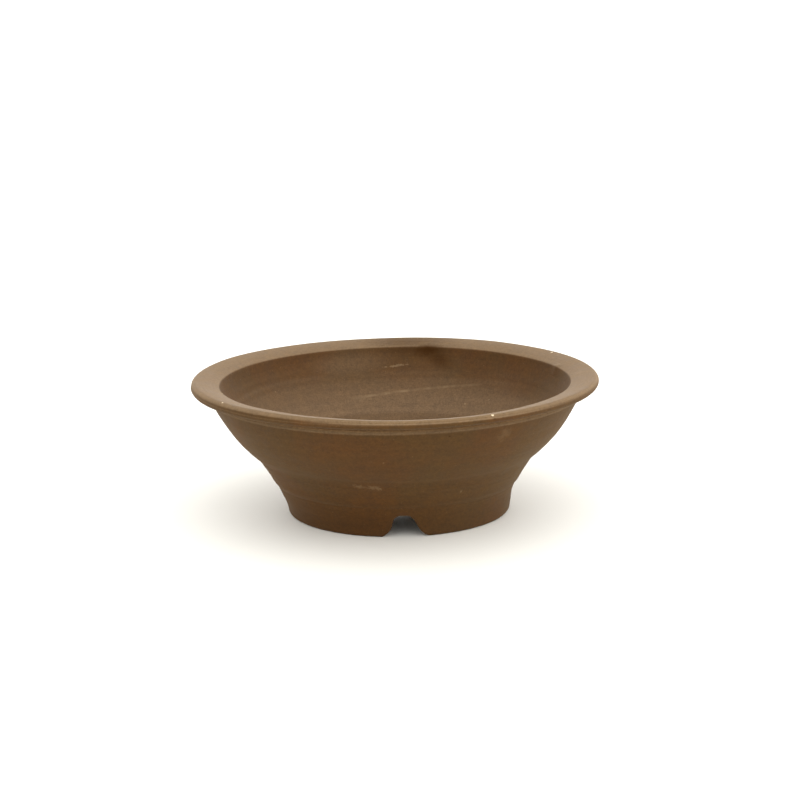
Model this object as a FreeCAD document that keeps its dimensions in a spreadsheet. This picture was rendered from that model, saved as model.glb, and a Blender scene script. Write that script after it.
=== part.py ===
"""Round unglazed bonsai pot: a waisted bowl with a broad dished lip, on a notched foot ring.

Millimetres, +Z up. The origin is on the pot's axis, in the plane the foot stands on, and -Y is the front.
The clay parts are made one by one and joined when leather-hard. The bowl's rim carries a low key that the lip
ring sits over, and a spigot under the floor centres the foot ring. A coil of clay closes each joint.
A plastic net lies over the drain hole, held by one bent wire.
"""

import FreeCAD, Part
import math
import os
import Sketcher
from types import SimpleNamespace

PARTS = "parts"

# Driving dimensions: alias, value, meaning.
DIMENSIONS = [
    ("rim_radius", 125.0, "outer radius of the lip"),
    ("lip_edge", 2.8, "radius of the lip's rounded outer edge"),
    ("lip_crest", 81.45, "height of the middle of that edge"),
    ("lip_dish", 13.6, "slope of the lip, from its edge down to its inner corner, degrees"),
    ("lip_fall", 7.0, "slope of the lip's top where it leaves the rounded edge, degrees"),
    ("lip_crown", 60.0, "radius of the lip's slightly crowned top"),
    ("lip_inner", 107.7, "inner radius of the lip, at its corner"),
    ("lip_corner", 1.9, "rounding of the lip's inner corner"),
    ("lip_cove", 3.0, "radius of the cove under the lip"),
    ("lip_cove_out", 115.0, "radius where the cove meets the lip's underside"),
    ("joint_level", 74.4, "height of the joint between bowl and lip"),
    ("joint_outer", 113.4, "outer radius of the wall at that joint"),
    ("joint_inner", 105.7, "inner radius of the wall at that joint"),
    ("seam_leg", 1.6, "leg of the groove that the lip's coil fills"),
    ("seam_setback", 0.4, "distance of the coil's top edge inside the wall's outer radius"),
    ("seam_bulge", 2.4, "radius of that coil's outer face"),
    ("key_inner", 107.6, "inner radius of the key on the bowl's rim"),
    ("key_width", 2.6, "width of that key"),
    ("key_height", 1.6, "height of that key"),
    ("shoulder_curve", 177.0, "radius of the outer curve from the shoulder up to the lip"),
    ("shoulder_r", 106.2, "radius at the shoulder"),
    ("shoulder_z", 60.0, "height of the shoulder"),
    ("belly_curve", 83.0, "radius of the outer curve below the shoulder"),
    ("belly_low_r", 89.0, "radius at that curve's lower end"),
    ("belly_low_z", 39.6, "height of that curve's lower end"),
    ("waist_curve", 25.0, "radius of the waist's hollow curve"),
    ("waist_low_r", 83.3, "radius at the waist's lower end"),
    ("waist_low_z", 33.2, "height of the waist's lower end"),
    ("inside_curve", 93.0, "radius of the wall's inner curve"),
    ("inside_low_r", 81.5, "inner radius at that curve's lower end"),
    ("inside_low_z", 42.5, "height of that curve's lower end"),
    ("floor_corner_r", 65.8, "inner radius where wall and floor meet"),
    ("floor_rounding", 12.0, "rounding between wall and floor"),
    ("floor_top", 24.0, "height of the floor's upper face"),
    ("floor_under", 17.0, "height of the floor's underside"),
    ("drain_radius", 14.0, "radius of the drain hole"),
    ("drain_rounding", 1.4, "rounding of the drain hole's edges"),
    ("wire_hole_radius", 2.5, "radius of a wiring hole"),
    ("wire_hole_circle", 42.0, "radius of the circle that the wiring holes are on"),
    ("wire_hole_turn", 45.0, "direction of the first wiring hole, degrees from +X"),
    ("wire_hole_count", 4, "number of wiring holes"),
    ("foot_seat", 19.0, "height of the joint between foot ring and bowl"),
    ("foot_top_r", 73.9, "outer radius of the foot ring at that joint"),
    ("foot_base_r", 68.4, "outer radius of the foot ring at the ground, before rounding"),
    ("foot_flare", 62.0, "radius of the foot ring's outer curve"),
    ("foot_inner", 60.0, "inner radius of the foot ring, and radius of the spigot"),
    ("foot_rounding", 1.9, "rounding of the foot's outer lower edge"),
    ("foot_inner_rounding", 1.4, "rounding of the foot's inner lower edge"),
    ("coil_leg", 5.0, "leg of the coil inside the foot joint"),
    ("coil_hollow", 5.5, "radius of that coil's hollow face"),
    ("notch_height", 13.9, "height of a foot notch"),
    ("notch_base", 13.8, "half width of a notch at the ground"),
    ("notch_flare", 13.0, "radius of the notch's flared sides"),
    ("notch_neck", 7.0, "half width of a notch where the flare ends"),
    ("notch_neck_z", 8.8, "height where the flare ends"),
    ("notch_crown", 6.5, "half width where the top corner begins"),
    ("notch_crown_z", 9.8, "height where the top corner begins"),
    ("notch_top", 2.2, "half width of the notch's flat top"),
    ("notch_corner", 6.0, "radius of the notch's top corners"),
    ("notch_count", 3, "number of notches"),
    ("net_pitch", 4.0, "distance from one bar of the net to the next"),
    ("net_bars", 12, "bars each way"),
    ("net_bar_width", 1.0, "width of a bar"),
    ("net_bar_depth", 0.7, "depth of a bar"),
    ("net_depth", 1.2, "depth of the whole net, its crossing bars sunk into each other"),
    ("clip_wire", 0.75, "radius of the clip's wire"),
    ("clip_gap", 0.05, "clearance between the wire and what it lies on"),
    ("clip_leg", 12.0, "distance of a leg from the axis"),
    ("clip_loop", 3.5, "radius of a loop"),
    ("clip_loop_out", 15.5, "distance of a loop's middle from the axis, along X"),
    ("clip_top_bend", 1.5, "bend radius above the net"),
    ("clip_foot_bend", 2.0, "bend radius under the floor"),
    ("clip_foot_end", 26.0, "distance of a foot's end from the axis"),
]


class Size:
    """A number together with the formula that gives it from the spreadsheet."""

    def __init__(self, value, formula=None):
        self.value = float(value)
        self.formula = formula or repr(value)

    def __add__(self, other):
        return Size(self.value + sized(other).value, f"({self.formula} + {sized(other).formula})")

    def __sub__(self, other):
        return Size(self.value - sized(other).value, f"({self.formula} - {sized(other).formula})")

    def __mul__(self, other):
        return Size(self.value * sized(other).value, f"{self.formula} * {sized(other).formula}")

    def __neg__(self):
        return Size(-self.value, f"-1 * {self.formula}")


def sized(number):
    return number if isinstance(number, Size) else Size(number)


def trig(name, degrees):
    """Sine, cosine or tangent of an angle in degrees."""
    return Size(getattr(math, name)(math.radians(degrees.value)), f"{name}({degrees.formula} * 1deg)")


def make_sheet():
    """The spreadsheet of driving dimensions, one row each, and a Size for every alias."""
    sheet = doc.addObject("Spreadsheet::Sheet", "Dims")
    for row, (alias, value, meaning) in enumerate(DIMENSIONS, start=1):
        sheet.set(f"A{row}", meaning)
        sheet.set(f"B{row}", str(value))
        sheet.setAlias(f"B{row}", alias)
    doc.recompute()
    return SimpleNamespace(**{alias: Size(value, f"Dims.{alias}") for alias, value, _ in DIMENSIONS})


def new_body(label):
    body = doc.addObject("PartDesign::Body", label)
    body.Label = label
    body.AllowCompound = True
    return body


def origin_feature(body, role):
    return next(item for item in body.Origin.OriginFeatures if item.Role == role)


def new_sketch(body, name, plane):
    sketch = body.newObject("Sketcher::SketchObject", name)
    sketch.AttachmentSupport = [(origin_feature(body, plane), "")]
    sketch.MapMode = "FlatFace"
    sketch.Visibility = False
    return sketch


def bind(sketch, kind, *elements, size):
    """Adds a dimension to the sketch and ties it to the spreadsheet."""
    index = sketch.addConstraint(Sketcher.Constraint(kind, *elements, size.value))
    sketch.setExpression(f"Constraints[{index}]", size.formula)


def arc_between(start, end, radius):
    """The arc from start to end, its middle left of the way there, or right of it if radius is below 0."""
    across = end - start
    reach = math.sqrt(radius * radius - across.Length * across.Length / 4)
    left = FreeCAD.Vector(-across.y, across.x, 0).normalize()
    middle = (start + end) * 0.5 + left * math.copysign(reach, radius)
    first, last = (start, end) if radius > 0 else (end, start)
    angles = [math.atan2(point.y - middle.y, point.x - middle.x) for point in (first, last)]
    return Part.ArcOfCircle(Part.Circle(middle, FreeCAD.Vector(0, 0, 1), abs(radius)), *angles)


def outline(sketch, corners):
    """A closed outline through corners (x, y), or (x, y, radius) where an arc leaves the corner.

    A side's middle of curvature is on its left, or on its right if the radius is below 0.
    """
    corners = [[sized(number) for number in corner] for corner in corners]
    points = [FreeCAD.Vector(corner[0].value, corner[1].value, 0) for corner in corners]
    sides = []
    for index, corner in enumerate(corners):
        start, end = points[index], points[(index + 1) % len(points)]
        if len(corner) == 2:
            sides.append((sketch.addGeometry(Part.LineSegment(start, end), False), 1, 2))
            continue
        radius = corner[2]
        side = sketch.addGeometry(arc_between(start, end, radius.value), False)
        bind(sketch, "Radius", side, size=radius if radius.value > 0 else -radius)
        sides.append((side, 1, 2) if radius.value > 0 else (side, 2, 1))
    for index, corner in enumerate(corners):
        side, start, _ = sides[index]
        side_before, _, end_before = sides[index - 1]
        sketch.addConstraint(Sketcher.Constraint("Coincident", side_before, end_before, side, start))
        bind(sketch, "DistanceX", -1, 1, side, start, size=corner[0])
        bind(sketch, "DistanceY", -1, 1, side, start, size=corner[1])
    return sketch


def disc(sketch, x, y, radius):
    """A full circle about (x, y)."""
    middle = FreeCAD.Vector(x.value, y.value, 0)
    circle = sketch.addGeometry(Part.Circle(middle, FreeCAD.Vector(0, 0, 1), radius.value), False)
    bind(sketch, "DistanceX", -1, 1, circle, 3, size=x)
    bind(sketch, "DistanceY", -1, 1, circle, 3, size=y)
    bind(sketch, "Radius", circle, size=radius)
    return sketch


def revolve(body, corners):
    """The outline in the XZ plane, turned once about the axis."""
    section = outline(new_sketch(body, body.Label + "_section", "XZ_Plane"), corners)
    turned = body.newObject("PartDesign::Revolution", body.Label + "_turned")
    turned.Profile = section
    turned.ReferenceAxis = (section, ["V_Axis"])
    turned.Angle = 360
    doc.recompute()


def edges_about_axis(shape, radius, height):
    """Names of the circular edges about the axis that have this radius and height."""
    target = FreeCAD.Vector(0, 0, height.value)
    return [
        f"Edge{index}"
        for index, edge in enumerate(shape.Edges, start=1)
        if isinstance(edge.Curve, Part.Circle)
        and abs(edge.Curve.Radius - radius.value) < 0.01
        and edge.Curve.Center.distanceToPoint(target) < 0.01
    ]


def round_edges(body, name, rounding, *places):
    """Rounds the circular edges at the given (radius, height) places."""
    base = body.Tip
    names = [edge for place in places for edge in edges_about_axis(base.Shape, *place)]
    if not names:
        raise RuntimeError(f"{name}: no edge there")
    fillet = body.newObject("PartDesign::Fillet", name)
    fillet.Base = (base, names)
    fillet.setExpression("Radius", rounding.formula)
    doc.recompute()


def cut_through(body, sketch, name):
    """A pocket from the sketch all the way out along the sketch's own normal."""
    before = body.Tip.Shape.Volume
    pocket = body.newObject("PartDesign::Pocket", name)
    pocket.Profile = sketch
    pocket.Type = "ThroughAll"
    pocket.Reversed = True
    doc.recompute()
    if pocket.Shape.Volume > before - 1:
        raise RuntimeError(f"{name} cuts nothing")
    return pocket


def repeat_about_axis(body, feature, name, count):
    pattern = body.newObject("PartDesign::PolarPattern", name)
    pattern.Originals = [feature]
    pattern.Axis = (origin_feature(body, "Z_Axis"), [""])
    pattern.Angle = 360
    body.Tip = pattern
    pattern.setExpression("Occurrences", count.formula)
    doc.recompute()


def make_bowl():
    """Wall and floor, thrown in one: a belly over a waist, a key on the rim and a spigot under the floor."""
    body = new_body("bowl")
    key_outer = d.key_inner + d.key_width
    key_top = d.joint_level + d.key_height
    revolve(body, [
        (0, d.floor_under),
        (d.foot_inner, d.floor_under),
        (d.foot_inner, d.foot_seat),
        (d.foot_top_r, d.foot_seat),
        (d.waist_low_r, d.waist_low_z, -d.waist_curve),
        (d.belly_low_r, d.belly_low_z, d.belly_curve),
        (d.shoulder_r, d.shoulder_z, d.shoulder_curve),
        (d.joint_outer, d.joint_level - d.seam_leg),
        (d.joint_outer - d.seam_leg, d.joint_level),
        (key_outer, d.joint_level),
        (key_outer, key_top),
        (d.key_inner, key_top),
        (d.key_inner, d.joint_level),
        (d.joint_inner, d.joint_level, -d.inside_curve),
        (d.inside_low_r, d.inside_low_z),
        (d.floor_corner_r, d.floor_top),
        (0, d.floor_top),
    ])
    round_edges(body, "floor_corner", d.floor_rounding, (d.floor_corner_r, d.floor_top))

    drain = disc(new_sketch(body, "drain_circle", "XY_Plane"), Size(0), Size(0), d.drain_radius)
    cut_through(body, drain, "drain_hole")
    drain_edges = (d.drain_radius, d.floor_top), (d.drain_radius, d.floor_under)
    round_edges(body, "drain_edges", d.drain_rounding, *drain_edges)

    hole_x = d.wire_hole_circle * trig("cos", d.wire_hole_turn)
    hole_y = d.wire_hole_circle * trig("sin", d.wire_hole_turn)
    wiring = disc(new_sketch(body, "wiring_circle", "XY_Plane"), hole_x, hole_y, d.wire_hole_radius)
    hole = cut_through(body, wiring, "wiring_hole")
    repeat_about_axis(body, hole, "wiring_holes", d.wire_hole_count)
    return body


def make_lip_ring():
    """The broad lip on the bowl's rim: crowned and dished top, rounded edge, sloping underside, cove."""
    body = new_body("lip_ring")
    key_outer = d.key_inner + d.key_width
    key_top = d.joint_level + d.key_height
    edge_r = d.rim_radius - d.lip_edge
    top_r = edge_r - d.lip_edge * trig("sin", d.lip_fall)
    top_z = d.lip_crest + d.lip_edge * trig("cos", d.lip_fall)
    inner_z = top_z - (top_r - d.lip_inner) * trig("tan", d.lip_dish)
    low_r = edge_r + d.lip_edge * trig("sin", d.lip_dish)
    low_z = d.lip_crest - d.lip_edge * trig("cos", d.lip_dish)
    cove_z = low_z - (low_r - d.lip_cove_out) * trig("tan", d.lip_dish)
    revolve(body, [
        (d.joint_inner, d.joint_level),
        (d.key_inner, d.joint_level),
        (d.key_inner, key_top),
        (key_outer, key_top),
        (key_outer, d.joint_level),
        (d.joint_outer - d.seam_leg, d.joint_level),
        (d.joint_outer - d.seam_setback, d.joint_level + d.seam_leg, -d.lip_cove),
        (d.lip_cove_out, cove_z),
        (low_r, low_z, d.lip_edge),
        (d.rim_radius, d.lip_crest, d.lip_edge),
        (top_r, top_z, d.lip_crown),
        (d.lip_inner, inner_z),
    ])
    round_edges(body, "lip_inner_corner", d.lip_corner, (d.lip_inner, inner_z))
    return body


def make_lip_seam_coil():
    """The thin coil in the joint under the lip, standing a little proud of the wall."""
    body = new_body("lip_seam_coil")
    revolve(body, [
        (d.joint_outer - d.seam_leg, d.joint_level),
        (d.joint_outer, d.joint_level - d.seam_leg, d.seam_bulge),
        (d.joint_outer - d.seam_setback, d.joint_level + d.seam_leg),
    ])
    return body


def make_foot_ring():
    """The ring that the pot stands on, notched to let water out and air in."""
    body = new_body("foot_ring")
    revolve(body, [
        (d.foot_inner, 0),
        (d.foot_base_r, 0, -d.foot_flare),
        (d.foot_top_r, d.foot_seat),
        (d.foot_inner, d.foot_seat),
    ])
    round_edges(body, "foot_outer_edge", d.foot_rounding, (d.foot_base_r, Size(0)))
    round_edges(body, "foot_inner_edge", d.foot_inner_rounding, (d.foot_inner, Size(0)))

    notch_outline = outline(new_sketch(body, "notch_outline", "XZ_Plane"), [
        (d.notch_base, 0, -d.notch_flare),
        (d.notch_neck, d.notch_neck_z),
        (d.notch_crown, d.notch_crown_z, d.notch_corner),
        (d.notch_top, d.notch_height),
        (-d.notch_top, d.notch_height, d.notch_corner),
        (-d.notch_crown, d.notch_crown_z),
        (-d.notch_neck, d.notch_neck_z, -d.notch_flare),
        (-d.notch_base, 0),
    ])
    notch = cut_through(body, notch_outline, "notch")
    repeat_about_axis(body, notch, "notches", d.notch_count)
    return body


def make_foot_seam_coil():
    """The coil pressed into the inside corner between foot ring and floor."""
    body = new_body("foot_seam_coil")
    revolve(body, [
        (d.foot_inner - d.coil_leg, d.floor_under, -d.coil_hollow),
        (d.foot_inner, d.floor_under - d.coil_leg),
        (d.foot_inner, d.floor_under),
    ])
    return body


def lay_bars(body, name, lengthwise, crosswise, level):
    """One layer of the net: a bar over the net's whole length, repeated across it."""
    first = (d.net_pitch * (d.net_bars - 1)) * 0.5
    near = -(first + d.net_bar_width * 0.5)
    far = near + d.net_bar_width
    corners = [(near, near), (far, near), (far, -near), (near, -near)]
    if lengthwise == "X_Axis":
        corners = [(y, x) for x, y in reversed(corners)]
    section = outline(new_sketch(body, name + "_outline", "XY_Plane"), corners)
    section.setExpression("AttachmentOffset.Base.z", level.formula)
    bar = body.newObject("PartDesign::Pad", name)
    bar.Profile = section
    bar.setExpression("Length", d.net_bar_depth.formula)
    doc.recompute()
    pattern = body.newObject("PartDesign::LinearPattern", name + "s")
    pattern.Originals = [bar]
    pattern.Direction = (origin_feature(body, crosswise), [""])
    body.Tip = pattern
    pattern.setExpression("Length", (d.net_pitch * (d.net_bars - 1)).formula)
    pattern.setExpression("Occurrences", d.net_bars.formula)
    doc.recompute()


def make_drain_net():
    """A square of moulded plastic net: one layer of bars sunk into another that crosses it."""
    body = new_body("drain_net")
    lay_bars(body, "lower_bar", "Y_Axis", "X_Axis", d.floor_top)
    lay_bars(body, "upper_bar", "X_Axis", "Y_Axis", d.floor_top + d.net_depth - d.net_bar_depth)
    return body


def bend(start, corner, end):
    """The arc from start to end that touches the two lines meeting at the corner at right angles."""
    middle = start + end - corner
    return Part.Arc(start, middle + (corner - middle).normalize() * (start - middle).Length, end).toShape()


def clip_half():
    """Centreline from a foot's end up a leg and round its loop, and the point where it leaves the loop."""
    low = (d.floor_under - d.clip_gap - d.clip_wire).value
    high = (d.floor_top + d.net_depth + d.clip_gap + d.clip_wire).value
    leg, loop_x, loop = -d.clip_leg.value, -d.clip_loop_out.value, d.clip_loop.value
    foot_bend, top_bend = d.clip_foot_bend.value, d.clip_top_bend.value
    turn = 2 * math.atan2(loop, -loop_x)

    foot_end = FreeCAD.Vector(-d.clip_foot_end.value, 0, low)
    foot_start = FreeCAD.Vector(leg - foot_bend, 0, low)
    leg_low = FreeCAD.Vector(leg, 0, low + foot_bend)
    leg_high = FreeCAD.Vector(leg, 0, high - top_bend)
    top = FreeCAD.Vector(leg - top_bend, 0, high)
    loop_start = FreeCAD.Vector(loop_x, 0, high)
    loop_far = FreeCAD.Vector(loop_x - loop, loop, high)
    loop_end = FreeCAD.Vector(loop_x + loop * math.sin(turn), loop + loop * math.cos(turn), high)
    edges = [
        Part.LineSegment(foot_end, foot_start).toShape(),
        bend(foot_start, FreeCAD.Vector(leg, 0, low), leg_low),
        Part.LineSegment(leg_low, leg_high).toShape(),
        bend(leg_high, FreeCAD.Vector(leg, 0, high), top),
        Part.LineSegment(top, loop_start).toShape(),
        Part.Arc(loop_start, loop_far, loop_end).toShape(),
    ]
    return edges, loop_end


def clip_centreline():
    """Both halves and the straight bar between the loops. It is not flat, so no sketch can hold it."""
    half, loop_end = clip_half()
    turned = [edge.rotated(FreeCAD.Vector(), FreeCAD.Vector(0, 0, 1), 180) for edge in half]
    bar = Part.LineSegment(loop_end, FreeCAD.Vector(-loop_end.x, -loop_end.y, loop_end.z)).toShape()
    line = doc.addObject("Part::Feature", "clip_centreline")
    line.Shape = Part.Wire(Part.__sortEdges__(half + [bar] + turned))
    return line


def make_net_clip():
    """One bent wire: loops on the net, legs down through the drain hole, feet folded out under the floor."""
    line = clip_centreline()
    section = doc.addObject("Part::Circle", "clip_section")
    section.setExpression("Radius", d.clip_wire.formula)
    across = FreeCAD.Rotation(FreeCAD.Vector(0, 0, 1), FreeCAD.Vector(1, 0, 0))
    section.Placement = FreeCAD.Placement(line.Shape.OrderedVertexes[0].Point, across)
    wire = doc.addObject("Part::Sweep", "net_clip")
    wire.Label = "net_clip"
    wire.Sections = [section]
    wire.Spine = (line, [])
    wire.Solid = True
    doc.recompute()
    return wire


def check_document():
    for item in doc.Objects:
        if {"Invalid", "Error"} & set(item.State):
            raise RuntimeError(f"{item.Label} is {item.State}")


def export(piece):
    """Writes one piece as STEP, once it is known to be one sound solid."""
    shape = piece.Shape
    if shape.isNull() or not shape.isValid() or len(shape.Solids) != 1:
        raise RuntimeError(f"{piece.Label} is not one valid solid")
    shape.exportStep(os.path.join(PARTS, piece.Label + ".step"))
    box = shape.optimalBoundingBox(True, False)
    size = f"{box.XLength:.1f} x {box.YLength:.1f} x {box.ZLength:.1f} mm"
    print(f"{piece.Label}: {shape.Volume:.0f} mm3, {size}, z {box.ZMin:.2f} to {box.ZMax:.2f}")


doc = FreeCAD.newDocument("BonsaiPot")
d = make_sheet()
pieces = [
    make_bowl(),
    make_lip_ring(),
    make_lip_seam_coil(),
    make_foot_ring(),
    make_foot_seam_coil(),
    make_drain_net(),
    make_net_clip(),
]
check_document()
os.makedirs(PARTS, exist_ok=True)
for piece in pieces:
    export(piece)
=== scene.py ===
"""Looks of the bonsai pot: hand-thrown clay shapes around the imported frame, a plastic net and a wire clip.

Shapes are worked out in millimetres and written to the meshes in metres. A point on the clay is (turn, r, z):
turn is the angle about the pot's axis from the front, -Y, towards +X.
"""

import math
from typing import NamedTuple

import bpy
import numpy as np
from mathutils import Euler, Matrix, Vector

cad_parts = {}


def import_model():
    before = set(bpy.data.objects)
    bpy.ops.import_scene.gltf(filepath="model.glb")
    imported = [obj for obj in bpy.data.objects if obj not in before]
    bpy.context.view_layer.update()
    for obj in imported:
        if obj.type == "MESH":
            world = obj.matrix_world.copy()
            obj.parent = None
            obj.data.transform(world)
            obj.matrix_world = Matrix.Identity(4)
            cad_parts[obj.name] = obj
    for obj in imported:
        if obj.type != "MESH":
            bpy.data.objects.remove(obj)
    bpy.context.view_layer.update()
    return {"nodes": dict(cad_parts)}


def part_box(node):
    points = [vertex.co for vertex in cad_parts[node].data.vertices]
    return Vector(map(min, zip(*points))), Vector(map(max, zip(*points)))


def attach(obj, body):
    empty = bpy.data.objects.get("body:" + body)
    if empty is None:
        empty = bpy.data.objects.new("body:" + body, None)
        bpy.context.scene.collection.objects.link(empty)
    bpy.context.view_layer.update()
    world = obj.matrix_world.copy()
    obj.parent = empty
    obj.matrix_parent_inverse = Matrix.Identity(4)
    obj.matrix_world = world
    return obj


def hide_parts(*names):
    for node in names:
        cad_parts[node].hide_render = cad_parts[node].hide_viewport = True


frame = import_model()

MM = 0.001
SHARP_EDGE = math.radians(38)


# ---------------------------------------------------------------- sizes, in millimetres

def reach(node):
    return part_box(node)[1].x / MM


def bottom(node):
    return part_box(node)[0].z / MM


def top(node):
    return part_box(node)[1].z / MM


RIM = reach("lip_ring")
LIP_EDGE = 2.8
LIP_CREST = top("lip_ring") - LIP_EDGE
LIP_DISH = math.radians(13.6)
LIP_FALL = math.radians(7.0)
LIP_CROWN = 60.0
LIP_INNER = 107.7
LIP_CORNER = 1.9
LIP_THROAT = 25.8
JOINT = bottom("lip_ring")
JOINT_OUTER = 113.4
JOINT_INNER = 105.7
SEAM_LEG = JOINT - bottom("lip_seam_coil")
SEAM_SETBACK = 0.4
COVE = 3.0
COVE_OUT = 115.0
BEAD_BULGE = 2.4
KEY_INNER = 107.6
KEY_OUTER = 110.2
KEY_TOP = top("bowl")

WAIST_LOW = (83.3, 33.2)

FLOOR_TOP = bottom("drain_net")
FLOOR_UNDER = bottom("bowl")
FLOOR_CORNER = 65.8
DRAIN = 14.0
WIRE_HOLE = 2.5
WIRE_HOLE_CIRCLE = 42.0
WIRE_HOLE_TURN = math.radians(45)

FOOT_SEAT = top("foot_ring")
FOOT_TOP = reach("foot_ring")
FOOT_BASE = 68.4
FOOT_FLARE = 62.0
FOOT_INNER = reach("foot_seam_coil")
FOOT_OUTER_ROUNDING = 1.9
FOOT_INNER_ROUNDING = 1.4
NOTCH_EDGE_ROUNDING = 1.3
NOTCHES = 3
NOTCH_ZONE = 19.0
NOTCH_TOP = 13.9
COIL_LEG = FLOOR_UNDER - bottom("foot_seam_coil")


# ---------------------------------------------------------------- outlines

class Corner(NamedTuple):
    """A corner of an outline.

    bend is the radius of the side that leaves it, its middle on the left if above 0 and on the right if
    below. rounding is the radius that replaces the corner, and step the spacing of points along the side.
    """

    x: float
    y: float
    bend: float = 0.0
    rounding: float = 0.0
    step: float = 1.0


def side(start, end, bend):
    """A function from 0..1 to points on the side from start to end, and the side's length."""
    across = end - start
    chord = np.linalg.norm(across)
    if not bend:
        return lambda t: start + np.outer(t, across), chord
    left = np.array([-across[1], across[0]]) / chord
    middle = (start + end) / 2 + left * math.copysign(math.sqrt(bend * bend - chord * chord / 4), bend)
    sweep = 2 * math.asin(chord / 2 / abs(bend)) * math.copysign(1, bend)
    first = math.atan2(*(start - middle)[::-1])

    def arc(t):
        angle = first + sweep * np.asarray(t)
        return middle + abs(bend) * np.stack([np.cos(angle), np.sin(angle)], axis=-1)

    return arc, abs(bend * sweep)


def rounded_corner(before, after, t_before, t_after, rounding, turn):
    """Points on the rounding from one side to the next, without its two ends."""
    small = 1e-3
    start, end = before([t_before])[0], after([t_after])[0]
    heading_in = start - before([t_before - small])[0]
    heading_out = after([t_after + small])[0] - end
    handle = 4 / 3 * math.tan(turn / 4) * rounding
    near = start + heading_in / np.linalg.norm(heading_in) * handle
    far = end - heading_out / np.linalg.norm(heading_out) * handle
    count = max(3, round(rounding * turn / 0.45))
    t = (np.arange(1, count) / count)[:, None]
    return (1 - t) ** 3 * start + 3 * (1 - t) ** 2 * t * near + 3 * (1 - t) * t * t * far + t ** 3 * end


def outline(corners, closed=True):
    """Points along the outline, spaced by each corner's step, with its corners rounded."""
    points = [np.array(corner[:2]) for corner in corners]
    count = len(corners) if closed else len(corners) - 1
    sides = [side(points[i], points[(i + 1) % len(points)], corners[i].bend) for i in range(count)]
    cuts = np.zeros((count, 2))
    turns = np.zeros(len(corners))
    for i, corner in enumerate(corners):
        if not corner.rounding or not (closed or 0 < i < count):
            continue
        before, after = sides[i - 1][0], sides[i][0]
        a, b = np.diff(before([0.999, 1.0]), axis=0)[0], np.diff(after([0.0, 0.001]), axis=0)[0]
        turns[i] = abs(math.atan2(a[0] * b[1] - a[1] * b[0], a @ b))
        reach_back = corner.rounding * math.tan(turns[i] / 2)
        cuts[i - 1, 1] = reach_back / sides[i - 1][1]
        cuts[i, 0] = reach_back / sides[i][1]
    made = []
    for i in range(count):
        if turns[i]:
            made.append(rounded_corner(
                sides[i - 1][0], sides[i][0], 1 - cuts[i - 1, 1], cuts[i, 0], corners[i].rounding, turns[i]))
        low, high = cuts[i, 0], 1 - cuts[i, 1]
        steps = max(1, round(sides[i][1] * (high - low) / corners[i].step))
        rounded_end = turns[(i + 1) % len(corners)] > 0 or (not closed and i == count - 1)
        made.append(sides[i][0](np.linspace(low, high, steps + 1)[: None if rounded_end else -1]))
    return np.concatenate(made)


def outward(points):
    """Unit normals of a closed outline that runs anticlockwise, (n, 2)."""
    along = np.roll(points, -1, axis=0) - np.roll(points, 1, axis=0)
    normals = np.stack([along[:, 1], -along[:, 0]], axis=-1)
    return normals / np.linalg.norm(normals, axis=1)[:, None]


# ---------------------------------------------------------------- the hand in the clay

def bell(distance, width):
    return np.exp(-0.5 * (distance / width) ** 2)


def between(value, low, high, soft):
    """1 between low and high, fading to 0 across a width of soft at each of them."""
    rise = np.clip((value - low) / soft + 0.5, 0, 1)
    fall = np.clip((high - value) / soft + 0.5, 0, 1)
    return rise * rise * (3 - 2 * rise) * fall * fall * (3 - 2 * fall)


def apart(turn, centre):
    """Angle from centre to turn, the short way round."""
    return (turn - centre + math.pi) % (2 * math.pi) - math.pi


def wave(turn, seed, slowest, fastest):
    """A smooth random function round the pot, about -1 to 1."""
    draw = np.random.default_rng(seed)
    total = np.zeros_like(turn)
    weight = 0.0
    for k in range(slowest, fastest + 1):
        share = draw.uniform(0.4, 1.0) / math.sqrt(k)
        total += share * np.sin(k * turn + draw.uniform(0, 2 * math.pi))
        weight += share * share
    return total / math.sqrt(2 * weight)


def out_of_true(turn, r, z):
    """How far the whole pot is from round and level: added to r and z, growing towards the rim."""
    share = np.clip((r - 30) / (RIM - 30), 0, 1) ** 1.5
    return 0.22 * share * wave(turn, 3, 2, 5), 0.20 * share * wave(turn, 4, 2, 6) * np.clip(z / 84, 0, 1)


def step_up(value, middle, soft):
    """0 well below middle, 1 well above it."""
    return 0.5 + 0.5 * np.tanh((value - middle) / (2 * soft))


def off_centre(r, z):
    """How far the clay sits towards +X: the foot was pressed a little to the right of the bowl."""
    return np.clip((r - 50) / 15, 0, 1) * (1.25 - 1.5 * step_up(z, 10, 2.2) + 0.25 * bell(z - 54, 8))


def throwing_rings(turn, height, seed, pitch, size):
    """Low spiral ridges from the fingers, fading in and out."""
    phase = height / pitch + turn / (2 * math.pi)
    uneven = 0.35 * wave(turn, seed, 1, 4) + 0.25 * np.sin(height * 0.37 + 1.3)
    strength = 0.55 + 0.45 * wave(turn + height / 9, seed + 1, 1, 7)
    return size * strength * np.sin(2 * math.pi * (phase + uneven))


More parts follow.
